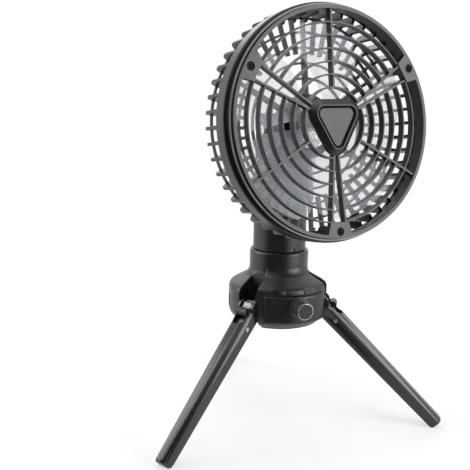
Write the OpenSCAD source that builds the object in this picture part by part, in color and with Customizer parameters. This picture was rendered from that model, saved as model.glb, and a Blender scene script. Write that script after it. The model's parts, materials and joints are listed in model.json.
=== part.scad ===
// Portable camping fan on a folding three-legged stand.
// Millimetres. +Z is up and the fan blows towards -Y. The origin lies on the
// floor, below the middle of the fan's outline.

/* [Head] */
// Height of the tilt pivot above the floor
pivot_z = 253; // [249:1:262]
// How far the head looks up, in degrees
head_pitch = 8.4; // [0:0.1:14]
// How far the head is turned on the hub, in degrees
head_yaw = 8.2; // [0:0.1:20]
// Distance from the tilt pivot to the front lip of the head
head_reach = 77.4; // [76:0.2:82]
// Outer radius of the head ring
ring_r = 91.5; // [88:0.5:96]
// Radial width of the head ring
ring_w = 6.3; // [5.5:0.1:7.5]
// Depth of the front ring, from its lip to the parting line
bezel_depth = 9.8; // [8.6:0.1:11]
// Depth of the whole head, from the front lip to the back ribs
cage_depth = 42.7; // [42:0.1:45]

/* [Front grille] */
// Radius of the innermost grille ring
first_ring_r = 26.9; // [25.5:0.1:29]
// Number of grille rings
ring_count = 6; // [4:1:7]
// Width of each grille ring
grille_bar = 1.2; // [1:0.1:1.8]
// Width of each straight grille rib
grille_rib = 1.7; // [1.2:0.1:2.4]
// Depth of the grille bars
grille_depth = 6; // [4:0.5:7]
// How far the bars lie behind the lip
grille_set = 1; // [0.4:0.1:1.4]
// Distance of the boss corners from the fan's axis
boss_reach = 13.5; // [11:0.5:14]
// Corner radius of the boss at its foot
boss_foot_r = 11.2; // [9:0.1:11.6]
// Corner radius of the boss at its rim
boss_rim_r = 6.7; // [6:0.1:8]
// Height of the boss rim in front of the lip
boss_rise = 2.5; // [1.5:0.1:4]
// Corner radius of the badge plate
badge_r = 4.3; // [3.5:0.1:5]
// Thickness of the badge plate
badge_t = 1.5; // [1:0.1:2]
// Width of the screw tabs where they meet the ring
tab_w = 23; // [20:0.5:26]
// Width of the screw tabs at their inner edge
tab_inner_w = 16.7; // [14:0.5:19]
// Thickness of the screw tabs
tab_t = 4.5; // [4:0.1:6]
// Distance of the tab screws inside the ring's inner edge
tab_screw_in = 2.4; // [2:0.1:3]

/* [Back cage] */
// Wall of the cage band behind the parting line
band_wall = 3; // [2.2:0.1:4]
// Depth of the cage band
band_depth = 10.7; // [8:0.1:12]
// Number of back ribs
tooth_count = 48; // [36:12:60]
// Thickness of each back rib
tooth_t = 2.5; // [1.8:0.1:3]
// Radial depth of the back ribs on the side of the cage
tooth_depth = 7; // [5.5:0.1:8]
// Height of the back ribs on the rear of the cage
rear_rib_h = 4; // [3:0.1:5]
// Rounding of the back ribs
tooth_round = 5; // [3:0.1:6.5]
// Radius where the back ribs end
rear_rib_inner_r = 57; // [50:0.5:60]
// Radial pitch of the back hoops
hoop_pitch = 12; // [10:0.5:14]
// Width of each back hoop
hoop_w = 1.8; // [1.4:0.1:3]
// Number of thick struts that carry the motor
strut_count = 6; // [3:3:8]
// Width of each strut
strut_w = 4; // [3:0.1:6]

/* [Blades] */
// Number of blades
blade_count = 5; // [3:1:7]
// Gap between the blade tips and the screw bosses
blade_tip_gap = 1.2; // [1:0.1:3]
// Radius of the blade hub
blade_hub_r = 14; // [12:0.5:16]
// Axial depth of the blades
blade_depth = 19; // [14:0.5:20]
// Thickness of the blades
blade_t = 1.6; // [1.2:0.1:2.2]
// Gap between the grille and the blades
blade_front_gap = 3.4; // [3:0.1:4]

/* [Motor] */
// Outer radius of the motor can
motor_r = 17.5; // [16:0.1:18]
// Length of the motor can
motor_len = 19; // [17:0.5:20]
// Wall of the motor can
motor_wall = 1.2; // [0.8:0.1:1.6]
// Radius of the motor shaft
shaft_r = 1.5; // [1.2:0.05:1.8]
// Radius of the motor rotor
rotor_r = 12.3; // [11:0.1:12.6]
// Thickness of the motor magnets
magnet_t = 2.8; // [2:0.1:3]
// Outer radius of the motor housing
housing_r = 23.2; // [22.6:0.1:24]
// Wall of the motor housing
housing_wall = 1.9; // [1.6:0.1:2.4]

/* [Neck] */
// Outer radius of the neck
neck_r = 22.6; // [22.2:0.1:24]
// Wall of the neck
neck_wall = 2.6; // [2.2:0.1:2.9]
// Height of the seam between neck tube and yoke
yoke_seam_z = 186; // [170:1:205]
// Radius of the pivot end of the head's lug
lug_r = 13; // [11:0.1:13.4]
// Width of the head's lug
lug_w = 28; // [22:0.5:29]
// Radius of the tilt pin
tilt_pin_r = 2.5; // [2:0.1:3.5]
// Radius of a battery cell
cell_r = 9.2; // [8.6:0.1:9.3]
// Length of a battery cell
cell_len = 65; // [60:0.5:66]

/* [Hub] */
// Height of the hub's flat underside above the floor
hub_z = 89; // [86:0.5:92]
// Largest radius of the hub
hub_r = 42.9; // [42.4:0.1:45]
// Outer wall of the hub
hub_wall = 3; // [2.4:0.1:3.4]
// Rounding of the hub's lower edge
hub_foot_round = 12; // [9:0.5:13]
// Rounding of the hub's shoulder
hub_shoulder_round = 6; // [4:0.5:8]
// Height of the shoulder's round above the underside
hub_shoulder_h = 28; // [26:0.5:30]
// Slope of the shoulder, in degrees
hub_slope = 30; // [24:1:34]
// Radius of the collar under the neck
collar_r = 25.2; // [24.8:0.1:26.4]
// Height of the collar's top above the floor
collar_z = 151.2; // [148:0.2:154]
// Round between the shoulder and the collar
collar_round = 9; // [6:0.5:11]
// How much higher the front lobe's shoulder is
front_rise = 3.4; // [2:0.1:4.4]
// Thickness of the base plate
base_t = 2.5; // [2:0.1:3.2]

/* [Control panel] */
// Half angle that the control panel spans
panel_half = 38; // [32:1:40]
// Thickness of the control panel
panel_t = 2.8; // [2.2:0.1:3.4]
// How far the control panel stands proud of the hub
panel_proud = 1.4; // [0.8:0.1:1.6]
// Height of the control panel
panel_h = 24.6; // [22:0.2:25.4]
// Radius of the speed knob
knob_r = 7.6; // [6.5:0.1:9]
// Length of the speed knob
knob_len = 13.4; // [11:0.2:15]
// Height of the knob's axis above the hub's underside
knob_h = 21.5; // [19:0.5:23]
// Radius of the speed control's shaft
dial_shaft_r = 2.95; // [2.4:0.05:3.2]

/* [Legs] */
// Depth of the leg hinge below the hub's largest radius
hinge_in = 4.7; // [4:0.1:5.3]
// Height of the leg hinge above the floor
hinge_z = 105.3; // [104.6:0.1:106]
// Slope of the spread legs below the horizontal, in degrees
leg_slope = 44.4; // [42:0.1:45.5]
// Leg length from the hinge to the toe
leg_len = 147; // [145:0.5:150]
// Width of a leg at the hinge
leg_w = 16.5; // [15.5:0.1:17.4]
// Width of a leg at the toe
toe_w = 12; // [10:0.1:14]
// Depth of a leg at the hinge
leg_d = 14.4; // [13.6:0.1:14.6]
// Depth of a leg at the toe
toe_d = 11; // [9:0.1:12]
// Corner cut along the outer side of a leg
leg_cut = 4; // [3:0.1:4.6]
// Thickness of the leg's cheeks at the hinge
cheek_t = 2.75; // [2.2:0.05:3.2]
// Radius of the leg hinge pin
pin_r = 2; // [1.6:0.05:2.4]
// Width of the metal hinge lug
cam_w = 8; // [6:0.1:9]
// Radius of the metal hinge lug
cam_r = 6.2; // [5:0.1:6.3]
// Radius of the detent roller
roller_r = 3.5; // [3:0.1:3.6]
// Width of the leg grooves in the hub
groove_w = 18.5; // [18:0.1:19.4]
// Width of the leg grooves at their back wall
groove_back_w = 12; // [11:0.1:14]
// Distance of the grooves' back wall from the neck axis
groove_back_r = 25.6; // [25.4:0.1:26.4]

/* [Hidden] */
$fn = 64;

// Clearances: a turning fit, a fixed fit, and the gap between moving faces.
running = 0.05;
snug = 0.02;
face_gap = 0.3;
loose = 0.15;
// Extra length of a cutting tool past the face that it opens.
past = 1;

// Colours
charcoal = [0.17, 0.17, 0.18];
dark = [0.1, 0.1, 0.11];
steel = [0.75, 0.76, 0.78];
smoke = [0.7, 0.72, 0.74, 0.6];
green = [0.1, 0.35, 0.2];
copper = [0.7, 0.45, 0.3];

// Head, measured from the front lip: z is forward, so what lies behind is negative.
ring_inner_r = ring_r - ring_w;
ring_pitch = (ring_inner_r - first_ring_r) / ring_count;
last_ring_r = ring_inner_r - ring_pitch;
lip_step = 3.5;
flank_step = 1.5;
lip_depth = 3.4;
ledge_h = 0.4;
parting_gap = 0.5;
tab_angles = [30, 150, 270];
rib_angles = [90, 210, 330];
tab_screw_r = ring_inner_r - tab_screw_in;
screw_head_r = 2.9;
screw_seat_r = 3.25;
screw_seat_depth = 2.2;
screw_r = 1.45;
screw_len = 16;
boss_back = 2.4;
tooth_r = ring_r - 0.5;
tooth_top = -(bezel_depth + band_depth);
pillar_r = 3.6;
mount_plate_r = 26;
mount_plate_t = 2.5;
shroud_wall = 1.2;
shroud_r = motor_r + loose + shroud_wall;
hoop_h = 2.5;

// Blades
blade_r = tab_screw_r - pillar_r - blade_tip_gap;
blade_front = -(grille_set + grille_depth + blade_front_gap);
blade_mid = blade_front - blade_depth / 2 - 0.4;
blade_stations = 9;
blade_chords = 8;
blade_root_span = 50;
blade_extra_span = 16;
blade_sweep = 14;
blade_hub_wall = 2.2;
nut_r = 4;
nut_t = 2;

// Motor, measured like the head
lug_stand = 21;
motor_floor = -(head_reach - lug_stand - housing_wall);
cap_t = 1.5;
motor_back = motor_floor + cap_t;
motor_front = motor_back + motor_len;
bush_r = 3;
bush_len = 3.4;
bush_boss_r = 5;
rotor_gap = 1.6;
housing_screw_shank = 1;
housing_screw_head = 1.9;
housing_screw_r = shroud_r + housing_screw_head + 0.1;

// Neck
neck_inner_r = neck_r - neck_wall;
spigot_r = neck_r - neck_wall;
spigot_wall = 2.4;
ledge_z = collar_z - 23.2;
neck_shoulder_z = collar_z + face_gap;
neck_foot_z = ledge_z - face_gap;
neck_floor_t = 5;
neck_ledge_t = 1.6;
wire_hole_r = 8;
retainer_t = 2.5;
retainer_r = neck_r - 0.2;
retainer_screw_r = 13;
yoke_rim = 0.9;
yoke_rim_h = 5;
cell_gap = 0.5;
holder_t = 2;
holder_z = neck_shoulder_z + neck_ledge_t;
cell_z = holder_z + holder_t;
holder_top_z = cell_z + cell_len;
yoke_top_z = pivot_z - lug_r - 1;
dome_flat_r = 3.6;
dome_r = neck_r - dome_flat_r;
cheek_inner = lug_w / 2 + 1;
cheek_round = lug_r + 1;
washer_r = 6;
pin_head_r = 4.2;
pin_head_t = 1.6;
cheek_outer = 20.8;

// Hub: heights run up from the hub's underside
groove_angles = [-30, -150, 90];
lobe_angles = [-90, 30, 150];
groove_half = groove_w / 2;
groove_back_half = groove_back_w / 2;
hinge_r = hub_r - hinge_in;
groove_chamfer_r = hinge_r - leg_d / 2;
groove_top_z = collar_z - 15.2;
inner_wall = 2.4;
front_half = 46.5;
cavity_r = hub_r - hub_wall;
base_r = hub_r - hub_foot_round + 4.4;
base_ledge_r = base_r - 6.8;
base_ledge_h = 6;
base_screw_r = base_r - 3.5;
base_screw_head = 2.5;
base_screw_shank = 1.3;
base_screw_len = 6;
pocket_r = retainer_r + 0.4;

// Control panel and its knob
panel_z = hub_z + 5.8;
panel_seat_r = hub_r + panel_proud - panel_t;
panel_face_r = hub_r + panel_proud;
knob_z = hub_z + knob_h;
knob_back_r = panel_face_r + face_gap;
knob_face_r = knob_back_r + knob_len;
control_w = 12;
control_d = 7;
control_front = cavity_r - 0.7;
control_back = control_front - control_d;
bush_outer = dial_shaft_r + 1.3;
board_t = 1.6;
knob_ridge_depth = 0.5;
knob_ridges = 24;
knob_cap_r = knob_r - 2;
lens_r = 1.7;
lens_len = 2.4;
lens_proud = 0.3;
lens_in = 0.6;
oval_stretch = 2.6;
lens_seats_at = [[-25.3, 3, 40], [-15.5, 2, 30], [14, 2.2, 36]];
port_angle = -192;
port_z = hub_z + 17;
port_recess = [9.5, 6, 1.2];
port_size = [7.8, 3];
port_len = 6.6;
port_wall = 0.4;

// Legs: s runs down the leg from the hinge, n points to its outer side
cam_notches = [-6.6, 38.2, 82.9, 127.7];
roller_s = 8;
roller_n = 6.2;
rivet_s = 19.5;
rivet_n = -0.5;
rivet_r = 1.2;
rivet_head_r = 1.9;
rivet_proud = 0.35;
slot_end = 20;
floor_start = cam_r + 0.6;
slot_floor = 2.6;
toe_cut = 1.2;
bracket_foot = [2, 11, 13];
bracket_web_h = 9;
bracket_screw_r = 1.25;
bracket_screw_head = [2.4, 1.6];
bracket_screw_tail = 3;
plunger_h = 6;

// The neck axis stands where the outline's middle falls on the origin.
front_reach = head_reach * cos(head_pitch) * cos(head_yaw)
    + (ring_r - lip_step) * sqrt(pow(sin(head_yaw), 2) + pow(sin(head_pitch) * cos(head_yaw), 2));
back_reach = hinge_r + leg_len * cos(leg_slope) + toe_d / 2 * sin(leg_slope) - toe_cut * cos(leg_slope);
axis_y = (front_reach - back_reach) / 2;

// ---------------------------------------------------------------- helpers

// Points of an arc about c, from angle a0 to angle a1.
function arc(c, r, a0, a1, steps = 6) = [
    for (i = [0 : steps]) let (a = a0 + (a1 - a0) * i / steps) [c[0] + r * cos(a), c[1] + r * sin(a)]
];

// Puts a child on the neck axis.
module on_axis() {
    translate([0, axis_y, 0]) children();
}

// Puts a child in the turned neck's frame, with its forward side along -Y.
module on_neck() {
    on_axis() rotate([0, 0, head_yaw]) children();
}

// Puts a child in the head's frame: x right, y up, z forward from the lip.
module on_head() {
    on_neck() translate([0, 0, pivot_z]) rotate([-head_pitch, 0, 0]) rotate([90, 0, 0])
        translate([0, 0, head_reach]) children();
}

// Puts a child in a leg's frame: x down the leg, y across it, z to its outer side.
module on_leg(i) {
    on_axis() rotate([0, 0, groove_angles[i]]) translate([hinge_r, 0, hinge_z])
        rotate([0, leg_slope, 0]) children();
}

// Puts a child in a groove's frame: x outwards, z up, with the origin on the floor.
module on_groove(i) {
    on_axis() rotate([0, 0, groove_angles[i]]) children();
}

// A tube of given radii and height that stands on z = 0.
module tube(outer, inner, h) {
    linear_extrude(h) difference() {
        circle(outer);
        circle(inner);
    }
}

// A rounded triangle whose corners point at the screw tabs.
module badge_outline(corner_r) {
    polygon([for (a = tab_angles) each arc([boss_reach * cos(a), boss_reach * sin(a)], corner_r, a - 60, a + 60, 12)]);
}

// ---------------------------------------------------------------- hub

// The hub's shoulder, slope and flare up to the collar, raised by rise.
function hub_upper(rise, last_angle) = let (
    shoulder = [hub_r - hub_shoulder_round, hub_z + hub_shoulder_h + rise],
    edge = [shoulder[0] + hub_shoulder_round * sin(hub_slope), shoulder[1] + hub_shoulder_round * cos(hub_slope)],
    flare_r = collar_r + collar_round,
    foot_r = flare_r - collar_round * sin(hub_slope),
    foot_z = edge[1] + (edge[0] - foot_r) * tan(hub_slope),
    flare = [flare_r, foot_z + collar_round * cos(hub_slope)]
) concat(
    arc(shoulder, hub_shoulder_round, 0, 90 - hub_slope),
    arc(flare, collar_round, 270 - hub_slope, last_angle)
);

// Outline of the hub shell from its underside to the collar's top.
function hub_outline() = concat(
    [[0, hub_z]],
    arc([hub_r - hub_foot_round, hub_z + hub_foot_round], hub_foot_round, -90, 0, 8),
    hub_upper(0, 180),
    [[collar_r, collar_z - 2], [collar_r - 0.8, collar_z], [0, collar_z]]
);

// Outline of the raised front lobe, which starts inside the hub's wall.
function front_lobe_outline() = concat(
    [[collar_r - 1.5, hub_z + hub_foot_round + 6], [hub_r, hub_z + hub_foot_round + 6]],
    hub_upper(front_rise, 188),
    [[collar_r - 1.5, collar_z - 8]]
);

// Plan of one leg groove, grown by grow for the wall round it.
module groove_plan(grow = 0) {
    polygon([
        [groove_back_r - grow, -groove_back_half - grow],
        [groove_chamfer_r, -groove_half - grow],
        [hub_r + 20, -groove_half - grow],
        [hub_r + 20, groove_half + grow],
        [groove_chamfer_r, groove_half + grow],
        [groove_back_r - grow, groove_back_half + grow]
    ]);
}

// The space of one leg groove, open below and arched above.
module groove_space(grow = 0) {
    arch = groove_half + grow;
    translate([0, 0, hub_z - past]) linear_extrude(groove_top_z - arch - hub_z + past) groove_plan(grow);
    translate([groove_back_r - grow, 0, groove_top_z - arch]) rotate([0, 90, 0]) cylinder(r = arch, h = 40);
}

// The hollow inside the hub, between its walls.
module hub_cavity() {
    low = hub_z + base_t;
    shoulder = [hub_r - hub_shoulder_round, hub_z + hub_shoulder_h];
    difference() {
        rotate_extrude() polygon(concat(
            [[0, low], [base_ledge_r, low], [base_ledge_r, low + base_ledge_h]],
            [[cavity_r - 3, low + base_ledge_h + 3], [cavity_r, low + base_ledge_h + 7]],
            arc(shoulder, hub_shoulder_round - hub_wall, 0, 90 - hub_slope, 3),
            [[pocket_r, ledge_z - 1], [0, ledge_z - 1]]
        ));
        for (i = [0 : 2]) rotate([0, 0, groove_angles[i]]) groove_space(inner_wall);
    }
}

// Where the control panel sits on the front lobe.
module panel_sector(inner, outer, low, high, half) {
    rotate([0, 0, -90 - half]) rotate_extrude(angle = 2 * half) translate([inner, low])
        square([outer - inner, high - low]);
}

// Places a lens hole or lens on the front shoulder: seat is its angle, rise and tilt.
module on_shoulder(seat) {
    rotate([0, 0, seat[0]]) translate([0, lens_in - hub_r, hub_z + hub_shoulder_h + front_rise + seat[1]])
        rotate([90 - seat[2], 0, 0]) children();
}

// The three lens seats: two lamps on one side and an oval window on the other.
module lens_seats(r, depth, rise) {
    for (seat = [lens_seats_at[0], lens_seats_at[1]]) on_shoulder(seat)
        translate([0, 0, rise - depth]) cylinder(r = r, h = depth);
    on_shoulder(lens_seats_at[2]) translate([0, 0, rise - depth]) linear_extrude(depth) {
        for (side = [-1, 1]) translate([oval_stretch * side, 0]) circle(r + lens_in);
        square([2 * oval_stretch, 2 * (r + lens_in)], center = true);
    }
}

module hub_shell() {
    color(charcoal) on_axis() difference() {
        union() {
            rotate_extrude() polygon(hub_outline());
            rotate([0, 0, -90 - front_half]) rotate_extrude(angle = 2 * front_half) polygon(front_lobe_outline());
        }
        for (i = [0 : 2]) rotate([0, 0, groove_angles[i]]) groove_space();
        hub_cavity();
        // Opening for the base plate.
        translate([0, 0, hub_z - past]) cylinder(r = base_r + loose, h = base_t + past);
        // Retainer pocket and neck bore.
        translate([0, 0, hub_z + base_t]) cylinder(r = pocket_r, h = ledge_z - hub_z - base_t);
        translate([0, 0, ledge_z - past]) cylinder(r = spigot_r + running, h = collar_z - ledge_z + 2 * past);
        // Seat of the control panel, and the speed control's hole through it.
        panel_sector(panel_seat_r, hub_r + 9, panel_z - loose, panel_z + panel_h + loose, panel_half + 0.3);
        translate([0, 0, knob_z]) rotate([90, 0, 0]) cylinder(r = bush_outer + running, h = hub_r + 5);
        lens_seats(lens_r + running, lens_len - lens_proud + past + running, past);
        // Charging port.
        rotate([0, 0, port_angle]) translate([hub_r, 0, port_z]) {
            cube([2 * port_recess[2], port_recess[1], port_recess[0]], center = true);
            cube([12, port_size[1] + 2 * running, port_size[0] + 2 * running], center = true);
        }
        // Hinge pins and bracket screws.
        for (a = groove_angles) rotate([0, 0, a]) {
            translate([hinge_r, 0, hinge_z]) rotate([90, 0, 0])
                cylinder(r = pin_r + snug, h = 2 * (groove_half + inner_wall) + 2, center = true);
            translate([groove_back_r - inner_wall - past, 0, hinge_z]) rotate([0, 90, 0])
                cylinder(r = bracket_screw_r + loose, h = inner_wall + 2 * past);
        }
        for (a = lobe_angles) rotate([0, 0, a]) translate([base_screw_r, 0, hub_z])
            cylinder(r = base_screw_shank + snug, h = base_t + base_screw_len);
    }
}

module hub_base() {
    color(charcoal) on_axis() difference() {
        translate([0, 0, hub_z]) cylinder(r = base_r, h = base_t);
        for (a = groove_angles) rotate([0, 0, a]) groove_space(loose);
        for (a = lobe_angles) rotate([0, 0, a]) translate([base_screw_r, 0, hub_z - past]) {
            cylinder(r = base_screw_shank + loose, h = base_t + 2 * past);
            cylinder(r = base_screw_head + loose, h = past + 1.5);
        }
    }
}

module base_screws() {
    color(steel) on_axis() for (a = lobe_angles) rotate([0, 0, a]) translate([base_screw_r, 0, hub_z + 0.3])
        difference() {
            union() {
                cylinder(r = base_screw_head, h = 1.2);
                cylinder(r = base_screw_shank, h = base_t + base_screw_len - 1);
            }
            for (turn = [0, 90]) rotate([0, 0, turn]) translate([-1.6, -0.3, -past]) cube([3.2, 0.6, past + 0.7]);
        }
}

module control_panel() {
    round_h = 2.4;
    color(charcoal) on_axis() difference() {
        rotate([0, 0, -90 - panel_half]) rotate_extrude(angle = 2 * panel_half) translate([0, panel_z]) polygon(concat(
            [[panel_seat_r, 0]],
            [[panel_face_r - 2, 0]],
            arc([panel_face_r - round_h, round_h], round_h, -60, 0, 4),
            arc([panel_face_r - round_h, panel_h - round_h], round_h, 0, 60, 4),
            [[panel_face_r - 2, panel_h]],
            [[panel_seat_r, panel_h]]
        ));
        translate([0, 0, knob_z]) rotate([90, 0, 0]) cylinder(r = bush_outer + running, h = hub_r + 5);
    }
}

module panel_lenses() {
    color(smoke) on_axis() lens_seats(lens_r, lens_len, lens_proud);
}

module usb_socket() {
    color(steel) on_axis() rotate([0, 0, port_angle])
        translate([hub_r - port_recess[2] - port_len, -port_size[1] / 2, port_z - port_size[0] / 2]) {
            difference() {
                cube([port_len, port_size[1], port_size[0]]);
                translate([1.2, port_wall, port_wall])
                    cube([port_len, port_size[1] - 2 * port_wall, port_size[0] - 2 * port_wall]);
            }
            // Contact tongue.
            translate([1, port_size[1] / 2 - 0.35, 1.6]) cube([port_len - 2, 0.7, port_size[0] - 3.2]);
        }
}

module charge_board() {
    color(green) on_axis() rotate([0, 0, port_angle])
        translate([hub_r - port_recess[2] - port_len - board_t, -7, port_z - 4.8]) cube([board_t, 14, 15.8]);
}

module control_board() {
    color(green) on_axis() translate([-15, -control_back, knob_z - 9.5]) cube([30, board_t, 19]);
}

module speed_control() {
    color(steel) on_axis() difference() {
        union() {
            translate([-control_w / 2, -control_front, knob_z - control_w / 2]) cube([control_w, control_d, control_w]);
            translate([0, -control_back, knob_z]) rotate([90, 0, 0]) cylinder(r = bush_outer, h = panel_face_r - control_back - 0.4);
        }
        translate([0, -control_back - 1.4, knob_z]) rotate([90, 0, 0])
            cylinder(r = dial_shaft_r + running, h = panel_face_r - control_back);
    }
}

module bracket_screws() {
    color(steel) on_axis() for (a = groove_angles) rotate([0, 0, a])
        translate([groove_back_r - inner_wall, 0, hinge_z]) rotate([0, 90, 0]) {
            translate([0, 0, -bracket_screw_head[1]]) cylinder(r = bracket_screw_head[0], h = bracket_screw_head[1]);
            cylinder(r = bracket_screw_r, h = inner_wall + bracket_foot[0] + bracket_screw_tail);
        }
}

// Metal lug that carries a leg: a notched eye on a web and a foot plate.
module leg_bracket(i) {
    color(steel) on_groove(i) difference() {
        union() {
            translate([groove_back_r, -bracket_foot[1] / 2, hinge_z - bracket_foot[2] / 2]) cube(bracket_foot);
            translate([groove_back_r, -cam_w / 2, hinge_z - bracket_web_h / 2])
                cube([hinge_r - groove_back_r, cam_w, bracket_web_h]);
            translate([hinge_r, 0, hinge_z]) rotate([90, 0, 0]) cylinder(r = cam_r, h = cam_w, center = true);
        }
        translate([hinge_r, 0, hinge_z]) rotate([90, 0, 0]) {
            cylinder(r = pin_r + snug, h = cam_w + 2, center = true);
            for (a = cam_notches) rotate([0, 0, a]) translate([cam_r + 2.6, 0, 0])
                cylinder(r = roller_r, h = cam_w + 2, center = true);
        }
        translate([groove_back_r - past, 0, hinge_z]) rotate([0, 90, 0])
            cylinder(r = bracket_screw_r + snug, h = bracket_foot[0] + bracket_screw_tail + past + snug);
    }
}

module hinge_pin(i) {
    color(steel) on_groove(i) translate([hinge_r, 0, hinge_z]) rotate([90, 0, 0])
        cylinder(r = pin_r, h = 2 * (groove_half + inner_wall), center = true);
}

// ---------------------------------------------------------------- knob

module dial_shaft() {
    color(steel) on_axis() translate([0, -control_back - 1.6, knob_z]) rotate([90, 0, 0])
        cylinder(r = dial_shaft_r, h = knob_face_r - 4 - control_back - 1.6);
}

module control_knob() {
    color(dark) on_axis() translate([0, -knob_back_r, knob_z]) rotate([90, 0, 0]) difference() {
        union() {
            cylinder(r = knob_r - 0.9, h = knob_len - 0.6);
            cylinder(r = knob_r + 1.2, h = 1);
            translate([0, 0, 1.6]) cylinder(r = knob_r + 0.6, h = 0.9);
            translate([0, 0, knob_len - 3.4]) cylinder(r = knob_r, h = 3.4);
        }
        translate([0, 0, -past]) cylinder(r = dial_shaft_r + snug, h = knob_face_r - 4 - knob_back_r + past);
        translate([0, 0, knob_len - 1.4]) cylinder(r = knob_r - 0.8, h = 2);
        for (i = [0 : knob_ridges - 1]) rotate([0, 0, i * 360 / knob_ridges])
            translate([knob_r - 0.6, 0, 3.4]) cylinder(r = knob_ridge_depth, h = knob_len - 7.6);
    }
}

module knob_ring() {
    color(steel) on_axis() translate([0, -knob_face_r + 1.4, knob_z]) rotate([90, 0, 0])
        tube(knob_r - 0.8 - snug, knob_cap_r, 1.6);
}

module knob_face() {
    color(dark) on_axis() translate([0, -knob_face_r + 1.4, knob_z]) rotate([90, 0, 0])
        cylinder(r = knob_cap_r - snug, h = 1.1);
}

// ---------------------------------------------------------------- neck

module neck_tube() {
    color(charcoal) on_neck() difference() {
        rotate_extrude() polygon([
            [wire_hole_r, neck_foot_z], [spigot_r, neck_foot_z], [spigot_r, neck_shoulder_z],
            [neck_r - 0.3, neck_shoulder_z], [neck_r, neck_shoulder_z + 0.4], [neck_r, yoke_seam_z],
            [neck_inner_r, yoke_seam_z], [neck_inner_r, holder_z], [spigot_r - spigot_wall, holder_z],
            [spigot_r - spigot_wall, neck_foot_z + neck_floor_t], [wire_hole_r, neck_foot_z + neck_floor_t]
        ]);
        translate([0, 0, neck_shoulder_z + 2.3]) rotate([90, 0, 0]) cylinder(r = 1.75, h = neck_r + 2);
        for (a = lobe_angles) rotate([0, 0, a]) translate([retainer_screw_r, 0, neck_foot_z - past])
            cylinder(r = base_screw_shank + snug, h = past + 4);
    }
}

module neck_screw() {
    color(dark) on_neck() translate([0, -neck_inner_r - 0.3, neck_shoulder_z + 2.3]) rotate([90, 0, 0])
        cylinder(r = 1.75 - running, h = neck_wall - 1.3);
}

module neck_retainer() {
    color(dark) on_neck() translate([0, 0, neck_foot_z - retainer_t]) difference() {
        tube(retainer_r, wire_hole_r, retainer_t);
        for (a = lobe_angles) rotate([0, 0, a]) translate([retainer_screw_r, 0, -past])
            cylinder(r = base_screw_shank + loose, h = retainer_t + 2 * past);
    }
}

module retainer_screws() {
    color(steel) on_neck() for (a = lobe_angles) rotate([0, 0, a])
        translate([retainer_screw_r, 0, neck_foot_z - retainer_t]) {
            translate([0, 0, -1.2]) cylinder(r = base_screw_head, h = 1.2);
            cylinder(r = base_screw_shank, h = retainer_t + 3.6);
        }
}

module neck_yoke() {
    color(charcoal) on_neck() difference() {
        union() {
            rotate_extrude() polygon(concat(
                [[0, yoke_seam_z], [neck_r, yoke_seam_z]],
                arc([dome_flat_r, yoke_top_z - dome_r], dome_r, 0, 90, 10),
                [[0, yoke_top_z]]
            ));
            translate([0, 0, yoke_seam_z - yoke_rim_h]) cylinder(r = neck_inner_r - running, h = yoke_rim_h + past);
            // Cheeks: the neck's own wall carried on upwards past the pivot.
            intersection() {
                translate([0, 0, yoke_top_z - dome_r]) cylinder(r = neck_r, h = 2 * dome_r + 20);
                rotate([90, 0, 90]) linear_extrude(2 * cheek_outer, center = true) {
                    translate([0, pivot_z]) circle(cheek_round);
                    translate([-cheek_round, yoke_top_z - dome_r]) square([2 * cheek_round, pivot_z - yoke_top_z + dome_r]);
                }
            }
        }
        // Room for the head's lug between the cheeks.
        translate([-cheek_inner, -neck_r - past, yoke_top_z]) cube([2 * cheek_inner, 2 * (neck_r + past), 60]);
        // Battery space.
        translate([0, 0, yoke_seam_z - yoke_rim_h - past])
            cylinder(r = neck_inner_r - running - yoke_rim, h = holder_top_z + holder_t - yoke_seam_z + yoke_rim_h + past + face_gap);
        translate([0, 0, pivot_z]) rotate([0, 90, 0]) {
            cylinder(r = tilt_pin_r + snug, h = 60, center = true);
            for (side = [0, 1]) mirror([0, 0, side]) translate([0, 0, cheek_outer - pin_head_t])
                cylinder(r = pin_head_r + loose, h = 10);
        }
    }
}

module battery_cells() {
    color("steelblue") on_neck() for (side = [-1, 1]) translate([side * (cell_r + cell_gap), 0, cell_z])
        cylinder(r = cell_r, h = cell_len);
}

module battery_holder() {
    disc_r = neck_inner_r - running - yoke_rim - loose;
    color(dark) on_neck() {
        for (z = [holder_z, holder_top_z]) translate([0, 0, z]) tube(disc_r, 3, holder_t);
        translate([-cell_gap + 0.1, -cell_r, holder_z + holder_t]) cube([2 * (cell_gap - 0.1), 2 * cell_r, cell_len]);
    }
}

module tilt_pin() {
    color(steel) on_neck() translate([0, 0, pivot_z]) rotate([0, 90, 0]) {
        cylinder(r = tilt_pin_r, h = 2 * (cheek_outer - pin_head_t), center = true);
        for (side = [0, 1]) mirror([0, 0, side]) translate([0, 0, cheek_outer - pin_head_t])
            cylinder(r = pin_head_r, h = pin_head_t);
    }
}

module tilt_washers() {
    color(dark) on_neck() translate([0, 0, pivot_z]) rotate([0, 90, 0]) for (side = [0, 1]) mirror([0, 0, side])
        translate([0, 0, cheek_inner - 0.8]) tube(washer_r, tilt_pin_r + running, 0.8);
}

// ---------------------------------------------------------------- head

module front_grille() {
    color(charcoal) on_head() difference() {
        union() {
            grille_rim();
            translate([0, 0, -grille_set - grille_depth]) linear_extrude(grille_depth) grille_bars();
            for (a = tab_angles) rotate([0, 0, a]) screw_tab();
            grille_boss();
        }
        translate([0, 0, boss_rise - badge_t - 1.2]) linear_extrude(10) badge_outline(badge_r + running);
        for (a = tab_angles) rotate([0, 0, a]) translate([tab_screw_r, 0, 0]) {
            translate([0, 0, -screw_seat_depth]) cylinder(r = screw_seat_r, h = 10);
            translate([0, 0, -bezel_depth - past]) cylinder(r = screw_r + loose, h = bezel_depth + 2 * past);
        }
    }
}

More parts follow.
